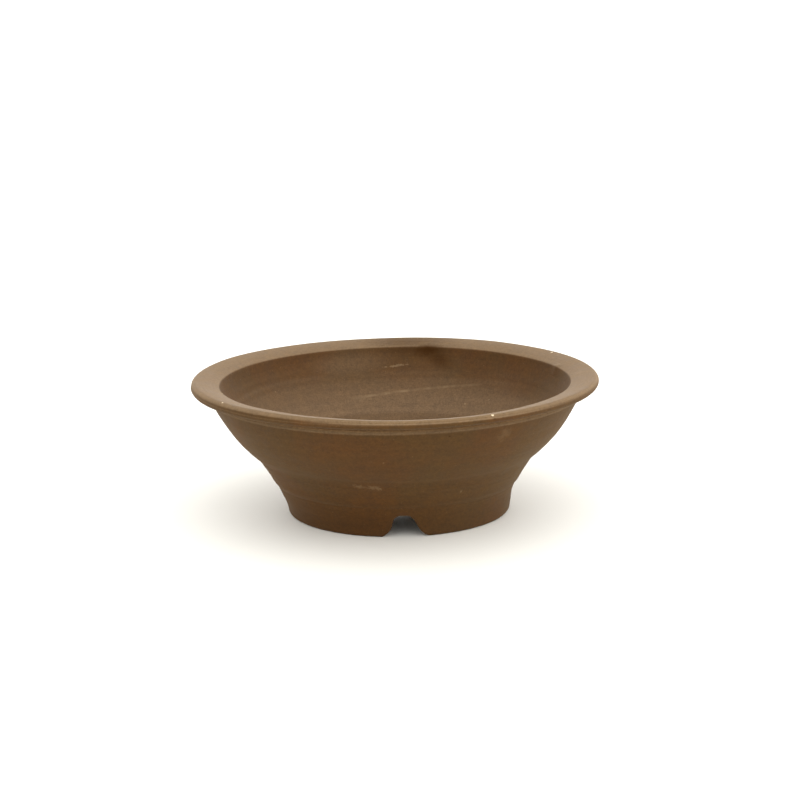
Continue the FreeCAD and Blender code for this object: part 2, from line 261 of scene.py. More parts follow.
def wall_relief(turn, r, z, out_r):
    """Relief on the outer and inner faces of the wall and foot, along their normals."""
    outside = between(out_r, 0.25, 2, 0.3)
    inside = between(-out_r, 0.25, 2, 0.3) * between(r, 66, 200, 4)
    rings_out = throwing_rings(turn, z, 11, 6.4, 0.05) * between(z, 22, 68, 8)
    rings_low = throwing_rings(turn, z, 17, 3.1, 0.03) * between(z, 2, 44, 6)
    rings_in = throwing_rings(turn, z, 23, 7.5, 0.04) * between(z, 30, 72, 8)
    finger_marks = 0.08 * wave(turn + z / 40, 29, 3, 14) * between(z, 16, 50, 10)
    line_shown = 0.15 + 0.85 * bell(apart(turn, math.radians(-46)), 0.3)
    joint_line = -0.25 * bell(z - FOOT_SEAT - 0.5, 0.45) * line_shown
    smear = 0.40 * bell(z - FOOT_SEAT - 3.6, 2.0)
    return outside * (rings_out + rings_low + finger_marks + joint_line + smear) + inside * rings_in


class Chip(NamedTuple):
    """A flake knocked off the lip: where it is, its half sizes along and across the lip, and its depth."""

    turn: float
    r: float
    z: float
    along: float
    across: float
    depth: float


CHIPS = [
    Chip(math.radians(-75.3), 108.3, 81.0, 0.9, 1.3, 0.30),
    Chip(math.radians(-57.9), 123.2, 84.0, 0.7, 0.5, 0.20),
    Chip(math.radians(23.8), 122.7, 83.2, 0.9, 0.9, 0.40),
    Chip(math.radians(28.0), 116.4, 82.8, 0.45, 0.4, 0.12),
    Chip(math.radians(119.9), 120.3, 83.9, 1.0, 0.7, 0.22),
]


def lip_relief(turn, r, z, out_z):
    """Trimming lines, a low front and a full left side, one pressed spot on the inner edge, and the chips."""
    upper = between(out_z, 0.2, 2, 0.3)
    lines = np.sin(2 * math.pi * (r / 2.3 + 0.4 * wave(turn, 41, 1, 5)))
    lines = 0.035 * lines * (0.5 + 0.5 * wave(turn, 42, 2, 8))
    uneven = 0.10 * wave(turn, 43, 3, 16)
    pressed = 0.55 * bell(apart(turn, math.radians(106)) * LIP_INNER, 2.6) * bell(r - LIP_INNER - 0.4, 1.8)
    thick = 0.25 * between(-out_z, 0.2, 2, 0.3) * (1 - np.sin(turn))
    full_left = 0.45 * bell(apart(turn, math.radians(-42)), 0.21)
    low_front = -1.0 * bell(apart(turn, math.radians(8)), 0.35)
    relief = upper * lines + uneven + pressed + thick
    relief += (full_left + low_front) * upper * between(z, 80.5, 400, 2)
    for chip in CHIPS:
        away = np.hypot(apart(turn, chip.turn) * chip.r / chip.along, (r - chip.r) / chip.across)
        relief -= upper * chip.depth * np.clip(1.35 - away, 0, 1)
    return relief


# ---------------------------------------------------------------- meshes

def turns_round(count, *fine):
    """Evenly spaced turns, with closer ones within each (centre, half width, spacing) in radians."""
    even = np.arange(count) * 2 * math.pi / count
    near = [np.arange(c - half, c + half, gap) % (2 * math.pi) for c, half, gap in fine]
    kept = [t for t in even if all(abs(apart(t, c)) > half + 0.3 * gap for c, half, gap in fine)]
    return np.sort(np.concatenate([kept, *near]))


def new_piece(name, mesh, material, slot, *nodes):
    """Adds the mesh to the scene as a piece that stands for those CAD nodes."""
    mesh.materials.append(material)
    mesh.shade_smooth()
    mesh.set_sharp_from_angle(angle=SHARP_EDGE)
    piece = bpy.data.objects.new(name, mesh)
    bpy.context.scene.collection.objects.link(piece)
    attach(piece, "root")
    if nodes:
        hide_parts(*nodes)
    return piece


def grid_mesh(name, turn, r, z):
    """A closed mesh from (columns, rows) arrays of points, joined up in both directions."""
    wobble_r, wobble_z = out_of_true(turn, r, z)
    r, z = r + wobble_r, z + wobble_z
    points = np.stack([r * np.sin(turn) + off_centre(r, z), -r * np.cos(turn), z], axis=-1) * MM
    index = np.arange(turn.size).reshape(turn.shape)
    next_column = np.roll(index, -1, axis=0)
    above, next_above = np.roll(index, -1, axis=1), np.roll(next_column, -1, axis=1)
    quads = np.stack([index, next_column, next_above, above], axis=-1)
    mesh = bpy.data.meshes.new(name)
    mesh.from_pydata(points.reshape(-1, 3), [], quads.reshape(-1, 4).tolist())
    return mesh


def turned_mesh(name, corners, turns, relief):
    """The closed outline carried round the axis.

    relief(turn, r, z, out_r, out_z) says how far a point is raised along the outline's normal (out_r, out_z).
    """
    section = outline(corners)
    normal = outward(section)
    turn, r = np.meshgrid(turns, section[:, 0], indexing="ij")
    rows = (section[:, 1], normal[:, 0], normal[:, 1])
    z, out_r, out_z = (np.broadcast_to(row, turn.shape) for row in rows)
    raised = relief(turn, r, z, out_r, out_z)
    return grid_mesh(name, turn, r + raised * out_r, z + raised * out_z)


BOWL_OUTLINE = [
    Corner(DRAIN, FLOOR_UNDER, step=3.5, rounding=1.4),
    Corner(FOOT_INNER, FLOOR_UNDER),
    Corner(FOOT_INNER, FOOT_SEAT, step=4),
    Corner(FOOT_TOP, FOOT_SEAT, step=0.6),
    Corner(WAIST_LOW[0], WAIST_LOW[1], bend=-25.0, rounding=5.0, step=0.8),
    Corner(89.0, 39.6, bend=83.0, rounding=4.0, step=0.95),
    Corner(106.2, 60.0, bend=177.0, step=0.95),
    Corner(JOINT_OUTER, JOINT - SEAM_LEG),
    Corner(JOINT_OUTER - SEAM_LEG, JOINT),
    Corner(KEY_OUTER, JOINT, step=1.6),
    Corner(KEY_OUTER, KEY_TOP, step=2.6),
    Corner(KEY_INNER, KEY_TOP, step=1.6),
    Corner(KEY_INNER, JOINT, step=1.9),
    Corner(JOINT_INNER, JOINT, bend=-93.0, step=1.2),
    Corner(81.5, 42.5, step=1.2),
    Corner(FLOOR_CORNER, FLOOR_TOP, rounding=12.0, step=3.5),
    Corner(DRAIN, FLOOR_TOP, rounding=1.4),
]


def make_bowl(clay):
    def relief(turn, r, z, out_r, out_z):
        shown = between(r, FOOT_INNER + 1, 400, 1) * between(z, FOOT_SEAT - 1, JOINT + 0.5, 0.6)
        on_floor = between(z, FLOOR_TOP - 1, FLOOR_TOP + 1, 1) * between(out_z, 0.5, 2, 0.3)
        spiral = 0.12 * np.sin(r / 2.1 + turn) * between(r, 22, 60, 6)
        return shown * wall_relief(turn, r, z, out_r) + on_floor * spiral

    mesh = turned_mesh("pot_bowl", BOWL_OUTLINE, turns_round(460), relief)
    bowl = new_piece("pot_bowl", mesh, clay, "clay", "bowl")
    cut_wiring_holes(bowl)
    return bowl


def hole_cutter(x, y):
    """A spool through the floor: the hole's radius in the middle, wider at both mouths for softer edges."""
    soft = 0.7
    heights = np.array([FLOOR_UNDER - 1, FLOOR_UNDER, FLOOR_UNDER + 0.25, FLOOR_UNDER + soft,
                        FLOOR_TOP - soft, FLOOR_TOP - 0.25, FLOOR_TOP, FLOOR_TOP + 1])
    radii = WIRE_HOLE + soft * np.array([1.6, 1.0, 0.35, 0.0, 0.0, 0.35, 1.0, 1.6])
    around = np.arange(40) * 2 * math.pi / 40
    rings = [
        [((x + radius * math.cos(a)) * MM, (y + radius * math.sin(a)) * MM, height * MM) for a in around]
        for radius, height in zip(radii, heights)
    ]
    points = [point for ring in rings for point in ring]
    count = len(around)
    faces = [
        (k * count + i, k * count + (i + 1) % count, (k + 1) * count + (i + 1) % count, (k + 1) * count + i)
        for k in range(len(rings) - 1)
        for i in range(count)
    ]
    faces.append(tuple(reversed(range(count))))
    faces.append(tuple(range(len(points) - count, len(points))))
    mesh = bpy.data.meshes.new("cutter")
    mesh.from_pydata(points, [], faces)
    cutter = bpy.data.objects.new("cutter", mesh)
    bpy.context.scene.collection.objects.link(cutter)
    return cutter


def apply_modifiers(piece):
    """Bakes the piece's modifiers into its mesh."""
    bpy.context.view_layer.update()
    made = bpy.data.meshes.new_from_object(piece.evaluated_get(bpy.context.evaluated_depsgraph_get()))
    piece.modifiers.clear()
    piece.data = made


def cut_wiring_holes(bowl):
    for quarter in range(4):
        angle = WIRE_HOLE_TURN + quarter * math.pi / 2
        cutter = hole_cutter(WIRE_HOLE_CIRCLE * math.cos(angle), WIRE_HOLE_CIRCLE * math.sin(angle))
        cut = bowl.modifiers.new("hole", "BOOLEAN")
        cut.object = cutter
        cut.operation = "DIFFERENCE"
        cut.solver = "EXACT"
        apply_modifiers(bowl)
        bpy.data.objects.remove(cutter)
    bowl.data.set_sharp_from_angle(angle=SHARP_EDGE)


def make_lip(clay):
    top_r, top_z = RIM - LIP_EDGE - LIP_EDGE * math.sin(LIP_FALL), LIP_CREST + LIP_EDGE * math.cos(LIP_FALL)
    low_r, low_z = RIM - LIP_EDGE + LIP_EDGE * math.sin(LIP_DISH), LIP_CREST - LIP_EDGE * math.cos(LIP_DISH)
    slope = math.tan(LIP_DISH)
    inner_z = top_z - (top_r - LIP_INNER) * slope
    corners = [
        Corner(JOINT_INNER, JOINT, step=2),
        Corner(KEY_INNER, JOINT, step=1.6),
        Corner(KEY_INNER, KEY_TOP, step=2.6),
        Corner(KEY_OUTER, KEY_TOP, step=1.6),
        Corner(KEY_OUTER, JOINT, step=2),
        Corner(JOINT_OUTER - SEAM_LEG, JOINT, step=0.6),
        Corner(JOINT_OUTER - SEAM_SETBACK, JOINT + SEAM_LEG, bend=-COVE, step=0.4),
        Corner(COVE_OUT, low_z - (low_r - COVE_OUT) * slope, rounding=1.5, step=0.6),
        Corner(low_r, low_z, bend=LIP_EDGE, step=0.42),
        Corner(RIM, LIP_CREST, bend=LIP_EDGE, step=0.42),
        Corner(top_r, top_z, bend=LIP_CROWN, step=0.45),
        Corner(LIP_INNER, inner_z, rounding=LIP_CORNER, bend=-LIP_THROAT, step=0.5),
    ]

    def relief(turn, r, z, out_r, out_z):
        at_key = between(r, KEY_INNER - 1, JOINT_OUTER, 0.5) * between(z, 0, KEY_TOP + 0.5, 0.5)
        return between(z, JOINT + 0.8, 400, 0.8) * (1 - at_key) * lip_relief(turn, r, z, out_z)

    fine = [(chip.turn, 2.2 * chip.along / chip.r, 0.22 * chip.along / chip.r) for chip in CHIPS]
    mesh = turned_mesh("pot_lip", corners, turns_round(640, *fine), relief)
    return new_piece("pot_lip", mesh, clay, "clay", "lip_ring")


def make_bead(clay):
    """The thin coil under the lip, rolled by hand, so its width and height vary a little."""
    inner = Corner(JOINT_OUTER - SEAM_LEG, JOINT, step=0.8)
    low = Corner(JOINT_OUTER, JOINT - SEAM_LEG, bend=BEAD_BULGE, step=0.22)
    high = Corner(JOINT_OUTER - SEAM_SETBACK, JOINT + SEAM_LEG, step=0.8)

    def relief(turn, r, z, out_r, out_z):
        rolled = 0.10 * wave(turn, 51, 4, 40) + 0.05 * wave(turn, 52, 40, 90)
        return rolled * between(r, JOINT_OUTER + 0.1, 200, 0.3)

    mesh = turned_mesh("pot_lip_bead", [inner, low, high], turns_round(720), relief)
    return new_piece("pot_lip_bead", mesh, clay, "clay", "lip_seam_coil")


def make_foot_coil(clay):
    """The coil inside the foot, pressed into the corner with a fingertip."""
    corners = [
        Corner(FOOT_INNER - COIL_LEG, FLOOR_UNDER, bend=-5.5, step=0.6),
        Corner(FOOT_INNER, FLOOR_UNDER - COIL_LEG, step=2.5),
        Corner(FOOT_INNER, FLOOR_UNDER, step=2.5),
    ]

    def relief(turn, r, z, out_r, out_z):
        hollow = between(r, 0, FOOT_INNER - 0.6, 0.5) * between(z, 0, FLOOR_UNDER - 0.6, 0.5)
        return hollow * (0.22 * np.sin(38 * turn + 1.5 * wave(turn, 61, 1, 6)) + 0.12 * wave(turn, 62, 6, 30))

    mesh = turned_mesh("pot_foot_coil", corners, turns_round(480), relief)
    return new_piece("pot_foot_coil", mesh, clay, "clay", "foot_seam_coil")


def notch_line():
    """Points (x, z) under the foot across one notch, left to right, and their unit normals into the air."""
    corners = [
        Corner(13.8, 0, bend=-13.0, rounding=3.0, step=0.5),
        Corner(7.0, 8.8, step=0.5),
        Corner(6.5, 9.8, bend=6.0, step=0.4),
        Corner(2.2, NOTCH_TOP, step=0.6),
    ]
    half = outline([Corner(NOTCH_ZONE, 0, step=0.6), *corners, Corner(0, NOTCH_TOP)], closed=False)
    left = half * [-1, 1]
    line = np.concatenate([left, half[::-1][1:]])
    along = np.gradient(line, axis=0)
    normal = np.stack([along[:, 1], -along[:, 0]], axis=-1)
    return line, normal / np.linalg.norm(normal, axis=1)[:, None]


def foot_profile():
    """The foot ring's outer radius as a function of height."""
    arc, _ = side(np.array([FOOT_BASE, 0.0]), np.array([FOOT_TOP, FOOT_SEAT]), -FOOT_FLARE)
    points = arc(np.linspace(0, 1, 60))
    return lambda z: np.interp(z, points[:, 1], points[:, 0])


def foot_columns():
    """For every column round the foot: where it starts and faces, how its edge is rounded, and its turn.

    A column starts at height "z" with the normal ("away_x", "away_z") into the air. Its turn is a function of
    radius, because the sides of a notch are parallel and the land between two notches is not.
    """
    line, normal = notch_line()
    length = np.concatenate([[0], np.cumsum(np.linalg.norm(np.diff(line, axis=0), axis=1))])
    top_x = (length / length[-1] * 2 - 1) * NOTCH_ZONE
    land = np.arange(1, 130) / 130
    flat = np.zeros_like(land)
    notch_edge = np.where(line[:, 1] > 0.5, NOTCH_EDGE_ROUNDING, FOOT_OUTER_ROUNDING)
    edge = np.concatenate([notch_edge, flat + FOOT_OUTER_ROUNDING])
    columns = {
        "z": np.concatenate([line[:, 1], flat]),
        "away_x": np.concatenate([-normal[:, 0], flat]),
        "away_z": np.concatenate([-normal[:, 1], flat + 1]),
        "edge": np.convolve(np.pad(edge, 4, mode="edge"), np.ones(9) / 9, mode="valid"),
    }

    def turn_at(share_up, r, shift):
        """share_up is 0 at the contour and 1 at the top. shift moves a point of the notch along x."""
        x = (line[:, 0][:, None] * (1 - share_up[: len(line)]) + top_x[:, None] * share_up[: len(line)]
             + shift[: len(line)])
        in_notch = np.arcsin(x / r[: len(line)])
        margin = np.arcsin(NOTCH_ZONE / r[len(line):])
        on_land = margin + land[:, None] * (2 * math.pi / NOTCHES - 2 * margin)
        return np.concatenate([in_notch, on_land])

    return columns, turn_at


def make_foot(clay):
    """The foot ring as columns that follow the ground and the notches, with every lower edge rounded."""
    columns, turn_at = foot_columns()
    outer = foot_profile()
    z0, away_x, away_z, edge = (columns[key][:, None] for key in ("z", "away_x", "away_z", "edge"))
    ones = np.ones_like(z0)
    rows = []

    def add(share_up, r, z, shift, shown):
        rows.append((turn_at(share_up, r, shift), r, z, shown * np.ones_like(r)))

    climb = np.sin(np.linspace(math.pi / 2, 0, 40))[None, :]
    start_z = z0 + away_z * edge
    z = start_z + (FOOT_SEAT - start_z) * climb
    add(climb * ones, outer(z), z, away_x * edge * (1 - climb), 1.0)

    bend = np.linspace(0, math.pi / 2, 8)[1:][None, :]
    offset = edge * (1 - np.sin(bend))
    z = z0 + away_z * offset
    add(0 * offset, outer(z) - edge * (1 - np.cos(bend)), z, away_x * offset, np.cos(bend))

    inside = FOOT_INNER_ROUNDING
    depth = np.linspace(0, 1, 10)[1:-1][None, :]
    r = (outer(z0) - edge) * (1 - depth) + (FOOT_INNER + inside) * depth
    add(0 * r, r, z0 * np.ones_like(r), 0 * r, 0.0)

    bend = bend[:, ::-1]
    offset = inside * (1 - np.sin(bend)) * ones
    r = (FOOT_INNER + inside * (1 - np.cos(bend))) * ones
    add(0 * offset, r, z0 + away_z * offset, away_x * offset, 0.0)

    climb = np.linspace(0, 1, 16)[None, :]
    start_z = z0 + away_z * inside
    z = start_z + (FOOT_SEAT - start_z) * climb
    add(climb * ones, FOOT_INNER * np.ones_like(z), z, away_x * inside * (1 - climb), 0.0)

    r = (FOOT_INNER + (FOOT_TOP - FOOT_INNER) * np.array([[0.33, 0.67]])) * ones
    add(np.ones_like(r), r, np.full_like(r, FOOT_SEAT), 0 * r, 0.0)

    turn, r, z, shown = (np.concatenate(part, axis=1) for part in zip(*rows))
    third = 2 * math.pi / NOTCHES
    turn = np.concatenate([turn + k * third for k in range(NOTCHES)])
    r, z, shown = (np.concatenate([part] * NOTCHES) for part in (r, z, shown))
    r = r + shown * wall_relief(turn, r, z, np.ones_like(r))
    ground_wear = 0.10 * wave(turn, 71, 5, 40) * between(z, -1, 1.0, 1.0) * between(shown, 0.3, 2, 0.4)
    mesh = grid_mesh("pot_foot", turn, r + ground_wear, z)
    mesh.flip_normals()
    return new_piece("pot_foot", mesh, clay, "clay", "foot_ring")


# ---------------------------------------------------------------- materials

class Graph:
    """Builds the nodes of a material or a world. Sockets or values go in, an output socket comes out."""

    def __init__(self, owner):
        self.tree = owner.node_tree

    def put(self, node, key, value):
        if isinstance(value, bpy.types.NodeSocket):
            self.tree.links.new(value, node.inputs[key])
        else:
            node.inputs[key].default_value = value

    def add(self, kind, inputs, output=0, **settings):
        node = self.tree.nodes.new(kind)
        for key, value in settings.items():
            setattr(node, key, value)
        for key, value in inputs.items():
            self.put(node, key, value)
        return node.outputs[output]

    def math(self, operation, *values):
        return self.add("ShaderNodeMath", dict(enumerate(values)), operation=operation)

    def product(self, first, *others):
        for other in others:
            first = self.math("MULTIPLY", first, other)
        return first

    def total(self, first, *others):
        for other in others:
            first = self.math("ADD", first, other)
        return first

    def split(self, vector):
        """The x, y and z of a vector."""
        node = self.tree.nodes.new("ShaderNodeSeparateXYZ")
        self.put(node, 0, vector)
        return node.outputs

    def vector(self, operation, output=0, **inputs):
        """A vector maths node. Its numbered inputs are given as _0 and _1."""
        slots = {int(key[1:]) if key[1:].isdigit() else key: value for key, value in inputs.items()}
        return self.add("ShaderNodeVectorMath", slots, output, operation=operation)

    def noise(self, vector, scale, detail=2.0, roughness=0.5, distortion=0.0):
        return self.add("ShaderNodeTexNoise", {
            "Vector": vector,
            "Scale": scale,
            "Detail": detail,
            "Roughness": roughness,
            "Distortion": distortion,
        })

    def fit(self, value, low, high, to_low=0.0, to_high=1.0):
        """value from low..high to to_low..to_high, smoothly and held at the ends."""
        inputs = {"Value": value, 1: low, 2: high, 3: to_low, 4: to_high}
        return self.add("ShaderNodeMapRange", inputs, interpolation_type="SMOOTHSTEP")

    def mix(self, share, first, second, blend="MIX"):
        node = self.tree.nodes.new("ShaderNodeMix")
        node.data_type = "RGBA"
        node.blend_type = blend
        for key, value in ((0, share), (6, first), (7, second)):
            self.put(node, key, value)
        return node.outputs[2]

    def surface(self, **inputs):
        for key, value in inputs.items():
            self.put(self.tree.nodes["Principled BSDF"], key.replace("_", " "), value)


def new_material(name):
    material = bpy.data.materials.new(name)
    material.use_nodes = True
    return material, Graph(material)


def place(turn_degrees, r, z):
    turn = math.radians(turn_degrees)
    return Vector((r * math.sin(turn), -r * math.cos(turn), z))


class Mark(NamedTuple):
    """A mark on the clay: its place, half sizes round, in and up in mm, tilt in degrees, and strength."""

    turn: float
    r: float
    z: float
    round_half: float
    deep_half: float
    up_half: float
    tilt: float = 0.0
    strength: float = 1.0


SCUFFS = [
    Mark(-18.0, 84.6, 35.4, 5.0, 5.0, 1.9, 6, 0.17),
    Mark(-12.0, 83.9, 34.5, 5.0, 5.0, 2.1, 4, 0.22),
    Mark(-9.4, 83.5, 34.0, 2.2, 5.0, 1.3, 0, 0.24),
    Mark(25.4, 80.0, 28.3, 0.9, 4.0, 1.6, 20, 0.34),
    Mark(31.5, 110.3, 67.8, 5.6, 6.0, 6.8, 10, 0.10),
    Mark(-7.0, 102.0, 54.2, 0.7, 4.0, 0.6, 0, 0.35),
    Mark(146.2, 88.0, 48.8, 0.9, 4.0, 0.6, 0, 0.55),
    Mark(135.8, 91.3, 52.4, 0.6, 4.0, 0.6, 0, 0.50),
    Mark(-131.3, 98.6, 61.8, 0.5, 4.0, 1.1, 10, 0.50),
    Mark(90.5, 114.5, 82.5, 4.5, 7.0, 6.0, 0, 0.14),
    Mark(177.0, 103.0, 69.0, 11.0, 4.0, 0.9, 7, 0.34),
    Mark(-168.0, 90.5, 51.2, 9.0, 8.0, 2.2, -4, 0.16),
]
# Dark patches under the back lip and on the back of the lip, a small dark spot below the front bead, and a
# painted shadow beneath the chip at 23.8 degrees.
DARK_PATCHES_AND_SHADOW = [
    Mark(165.3, 107.0, 79.6, 18.0, 9.0, 9.0, 0, 0.90),
    Mark(161.5, 105.0, 74.5, 16.0, 9.0, 9.0, -30, 0.60),
    Mark(168.0, 107.5, 79.8, 38.0, 9.0, 6.5, 0, 0.45),
    Mark(173.0, 116.0, 83.0, 48.0, 18.0, 9.0, 0, 0.58),
    Mark(13.0, 111.9, 70.8, 1.0, 3.0, 0.6, 0, 0.85),
    # painted shadow beneath the chip at 23.8 degrees
    Mark(23.8, 124.9, 81.2, 1.3, 2.0, 0.7, 0, 0.55),
]
DAMP_PATCHES = [
    Mark(148.0, 103.0, 69.0, 34.0, 16.0, 12.0, 0, 0.60),
    Mark(118.0, 100.0, 66.0, 34.0, 16.0, 14.0, 0, 0.45),
]
WARM_PATCHES = [
    Mark(-25.0, 72.0, 8.0, 90.0, 50.0, 32.0, 0, 0.85),
]
DUSTY_PATCHES = [
    Mark(-166.0, 104.0, 70.0, 44.0, 18.0, 14.0, 0, 0.45),
]
LONG_SCRATCH = (-162.0, 138.0)
LONG_SCRATCH_LOW = 51.0
LONG_SCRATCH_RISE = 10.3


def spot(graph, position, mark, edge, soft=0.55):
    """A mask of one mark, ragged by edge."""
    placed = graph.add("ShaderNodeMapping", {
        "Vector": position,
        "Location": place(mark.turn, mark.r, mark.z),
        "Rotation": (0.0, math.radians(mark.tilt), math.radians(mark.turn)),
        "Scale": (mark.round_half, mark.deep_half, mark.up_half),
    }, vector_type="TEXTURE")
    away = graph.math("ADD", graph.vector("LENGTH", output=1, _0=placed), edge)
    return graph.fit(away, 1.0, 1.0 - soft, 0.0, mark.strength)


def all_spots(graph, position, marks, edge, soft=0.55):
    """A mask of the strongest mark at every point."""
    total = 0.0
    for mark in marks:
        total = graph.math("MAXIMUM", total, spot(graph, position, mark, edge, soft))
    return total


def long_scratch(graph, at):
    """A long faint scratch that climbs round the inside of the back wall."""
    start, end = (math.radians(angle) for angle in LONG_SCRATCH)
    turn = graph.math("ARCTAN2", at.x, graph.product(at.y, -1.0))
    ahead = graph.math("FLOORED_MODULO", graph.math("SUBTRACT", start, turn), 2 * math.pi)
    share = graph.math("DIVIDE", ahead, (start - end) % (2 * math.pi))
    climb = graph.product(graph.math("POWER", share, 1.35), LONG_SCRATCH_RISE)
    away = graph.math("ABSOLUTE", graph.math("SUBTRACT", at.z, graph.total(climb, LONG_SCRATCH_LOW)))
    broken = graph.fit(graph.noise(at.position, 0.12, 3.0), 0.36, 0.62, 0.25, 1.0)
    ends = graph.product(graph.fit(share, 0.0, 0.14), graph.fit(share, 1.0, 0.7))
    return graph.product(graph.fit(away, 1.2, 0.1), ends, broken, at.inside, 0.40)


CLAY = (0.066, 0.0286, 0.0066, 1.0)
CLAY_RED = (0.070, 0.0273, 0.0058, 1.0)
CLAY_OLIVE = (0.060, 0.0300, 0.0077, 1.0)
CLAY_WARM = (0.0610, 0.0230, 0.0030, 1.0)
CLAY_DRY = (0.129, 0.078, 0.040, 1.0)
CLAY_DRY_LIP = (0.130, 0.079, 0.0385, 1.0)
# paler colour painted into the groove under the lip as light lifting its shade
CLAY_GROOVE_PAINTED_LIGHT = (0.265, 0.145, 0.060, 1.0)
CLAY_PALE = (0.26, 0.175, 0.095, 1.0)
CLAY_DARK = (0.034, 0.0125, 0.0026, 1.0)
CREAM = (0.62, 0.50, 0.33, 1.0)
# Heights of the bead's and the lip's pale colour, which is partly dry clay and partly painted light and
# shade.
DRY_BEAD_START, DRY_BEAD_FULL = JOINT - 1.7, JOINT - 0.5
DRY_LIP_START, DRY_LIP_FULL = JOINT + 2.1, JOINT + 4.1


class Place(NamedTuple):
    """Where a point of the clay is, in millimetres, and how its surface lies, all as node sockets.

    slope is the height of the unit normal. inside is 1 on the inner wall and the floor, outside elsewhere.
    """

    position: bpy.types.NodeSocket
    x: bpy.types.NodeSocket
    y: bpy.types.NodeSocket
    z: bpy.types.NodeSocket
    slope: bpy.types.NodeSocket
    inside: bpy.types.NodeSocket
    outside: bpy.types.NodeSocket


def find_place(g):
    coordinates = g.tree.nodes.new("ShaderNodeTexCoord").outputs
    position = g.vector("SCALE", _0=coordinates["Object"], Scale=1 / MM)
    x, y, z = g.split(position)
    slope = g.split(coordinates["Normal"])[2]
    facing = g.vector("DOT_PRODUCT", output=1, _0=coordinates["Normal"], _1=position)
    faces_up = g.product(g.fit(slope, 0.2, 0.4), g.fit(z, JOINT - 0.4, JOINT - 3.4))
    inside = g.math("MAXIMUM", g.fit(facing, 0.0, -20.0), faces_up)
    return Place(position, x, y, z, slope, inside, g.math("SUBTRACT", 1.0, inside))


def turning_lines(g, at):
    """Fine and wide lines from the wheel, which hardly change on their way round the pot."""
    r = g.math("SQRT", g.total(g.product(at.x, at.x), g.product(at.y, at.y)))
    along = {0: g.product(at.x, 0.012), 1: g.product(at.y, 0.012), 2: g.total(at.z, g.product(r, 0.8))}
    stretched = g.add("ShaderNodeCombineXYZ", along)
    return g.noise(stretched, 1.6, 3.0, 0.6), g.noise(stretched, 0.33, 2.0, 0.5)


def dryness_and_painted_light(g, at):
    """How dry and pale the clay is inside the pot, and on the lip with its bead. On the lip the dry colour
    fades out where the rounded edge faces down, a painted shade, and the bead and the cove under the lip are
    pale partly as dry clay and partly as painted light lifting the lip's shade.
    """
    damp = g.math("SUBTRACT", 1.0, all_spots(g, at.position, DAMP_PATCHES, 0.0, 0.9))
    dusty = g.math("MAXIMUM", g.fit(at.slope, 0.40, 0.76), all_spots(g, at.position, DUSTY_PATCHES, 0.0, 0.9))
    # painted shade: the lip's dry colour fades out where the rounded edge faces down
    roll = g.product(g.fit(at.slope, -0.12, 0.78), g.fit(at.z, DRY_LIP_START, DRY_LIP_FULL))
    # the bead and the cove under the lip: dry pale clay, made paler still as painted light lifting the lip's
    # shade
    bead = g.fit(at.z, DRY_BEAD_START, DRY_BEAD_FULL, 0.0, 0.9)
    bead = g.product(bead, g.fit(at.z, DRY_LIP_FULL, DRY_LIP_START))
    return g.product(dusty, damp, at.inside), g.product(g.math("MAXIMUM", roll, bead), at.outside)


def groove_painted_light(g, at):
    """Painted light: a paler colour in the groove between the bead and the lip, lifting the shade under the
    lip's overhang.
    """
    from_bead = g.fit(at.z, JOINT, JOINT + 1.0)
    to_lip = g.fit(at.z, JOINT + 2.8, JOINT + 2.0)
    return g.product(from_bead, to_lip, at.outside, 0.42)


def painted_edge_highlight(g, at):
    """Painted highlight: the upper, up-facing half of the lip's rounded edge made a little paler."""
    upper_half = g.product(g.fit(at.slope, 0.3, 0.7), g.fit(at.slope, 0.97, 0.85))
    return g.product(upper_half, g.fit(at.z, DRY_LIP_START, DRY_LIP_FULL), at.outside, 0.17)


def grit(g, position, scale, size, seed):
    """Grains of about one size, few and scattered."""
    cells = g.tree.nodes.new("ShaderNodeTexVoronoi")
    g.put(cells, "Vector", g.vector("ADD", _0=position, _1=(seed, 0.0, 0.0)))
    g.put(cells, "Scale", scale)
    chosen = g.fit(g.add("ShaderNodeSeparateColor", {0: cells.outputs["Color"]}), 0.80, 0.86)
    return g.product(g.fit(cells.outputs["Distance"], size * scale, size * scale * 0.4), chosen)


def clay_colour(g, at, mottle, grain, lines):
    """Red, olive and warm patches, drier clay, painted shade on the lower foot, painted light and shade on
    the lip and the groove under it, and small changes of shade.
    """
    broad = g.noise(at.position, 0.018, 3.0, 0.55, 0.6)
    colour = g.mix(g.fit(broad, 0.34, 0.66), CLAY_RED, CLAY_OLIVE)
    colour = g.mix(0.35, colour, CLAY)
    warm = g.product(all_spots(g, at.position, WARM_PATCHES, 0.0, 0.9), at.outside)
    colour = g.mix(warm, colour, CLAY_WARM)
    dry_inside, dry_lip_and_painted_light = dryness_and_painted_light(g, at)
    colour = g.mix(dry_inside, colour, CLAY_DRY)
    # dry clay on the lip, with painted shade under its edge and painted light on the bead and the cove
    colour = g.mix(dry_lip_and_painted_light, colour, CLAY_DRY_LIP)
    # painted light: the groove under the lip made paler to lift the shade of the lip's overhang
    colour = g.mix(groove_painted_light(g, at), colour, CLAY_GROOVE_PAINTED_LIGHT)
    # painted highlight on the upper half of the lip's rounded edge
    colour = g.mix(painted_edge_highlight(g, at), colour, CLAY_PALE)
    shade = g.total(
        1.0,
        g.fit(mottle, 0.25, 0.75, -0.08, 0.08),
        g.fit(g.noise(at.position, 0.42, 3.0, 0.6), 0.25, 0.75, -0.10, 0.10),
        g.fit(grain, 0.25, 0.75, -0.16, 0.16),
        g.fit(lines[0], 0.3, 0.7, -0.03, 0.03),
        g.fit(lines[1], 0.3, 0.7, -0.025, 0.025),
    )
    # Painted shade: the clay darker towards the ground, where the foot sits under the bowl's overhang.
    shade = g.product(shade, g.fit(at.z, 4.0, FOOT_SEAT + 7.0, 0.84, 1.0))
    grey = g.add("ShaderNodeCombineXYZ", {axis: shade for axis in range(3)})
    return g.mix(1.0, colour, grey, "MULTIPLY")


